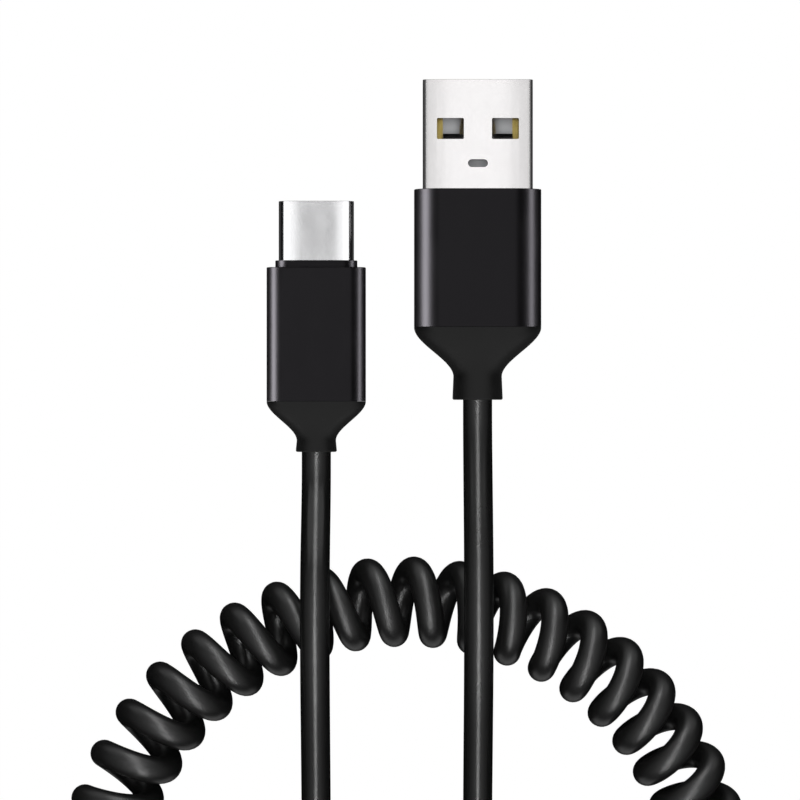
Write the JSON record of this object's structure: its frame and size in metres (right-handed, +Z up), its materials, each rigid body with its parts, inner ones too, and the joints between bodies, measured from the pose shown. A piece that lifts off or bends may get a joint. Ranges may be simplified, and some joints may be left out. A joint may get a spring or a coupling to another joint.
{
  "type": "coiled USB-C to USB-A cable",
  "caption": "Curly black charging and data cable: a tight coil laid in an arch, with straight leads over it to a slim USB-C plug and a USB-A plug, both steel with black housings.",
  "frame": {"origin": "on the floor, under the middle of the box round the two plugs, leads and coil left out", "axes": "+Y the way both plugs point, +Z up from the floor, +X towards the USB-A plug"},
  "size_m": [0.0772, 0.1258, 0.0134],
  "materials": {
    "plated_steel": "nickel-plated steel, satin bright",
    "gold_contacts": "gold plating on bronze",
    "grey_plastic": "moulded grey plastic",
    "black_plastic": "moulded black plastic",
    "anodised_housing": "black anodised, bead-blasted satin",
    "moulded_relief": "moulded black elastomer, matte",
    "cord_jacket": "extruded black jacket, semi-gloss"
  },
  "bodies": {
    "root": {"usb_a_shell": "plated_steel", "usb_a_insert": "grey_plastic", "usb_a_contact_1": "gold_contacts", "usb_a_contact_2": "gold_contacts", "usb_a_contact_3": "gold_contacts", "usb_a_contact_4": "gold_contacts", "usb_a_housing": "anodised_housing", "usb_a_strain_relief": "moulded_relief", "usb_c_shell": "plated_steel", "usb_c_insert": "black_plastic", "usb_c_contact_upper_1": "gold_contacts", "usb_c_contact_upper_4": "gold_contacts", "usb_c_contact_upper_5": "gold_contacts", "usb_c_contact_upper_6": "gold_contacts", "usb_c_contact_upper_7": "gold_contacts", "usb_c_contact_upper_9": "gold_contacts", "usb_c_contact_upper_12": "gold_contacts", "usb_c_contact_lower_1": "gold_contacts", "usb_c_contact_lower_4": "gold_contacts", "usb_c_contact_lower_5": "gold_contacts", "usb_c_contact_lower_9": "gold_contacts", "usb_c_contact_lower_12": "gold_contacts", "usb_c_housing": "anodised_housing", "usb_c_strain_relief": "moulded_relief", "lead_usb_c": "cord_jacket", "coil": "cord_jacket", "lead_usb_a": "cord_jacket"}
  },
  "joints": []
}
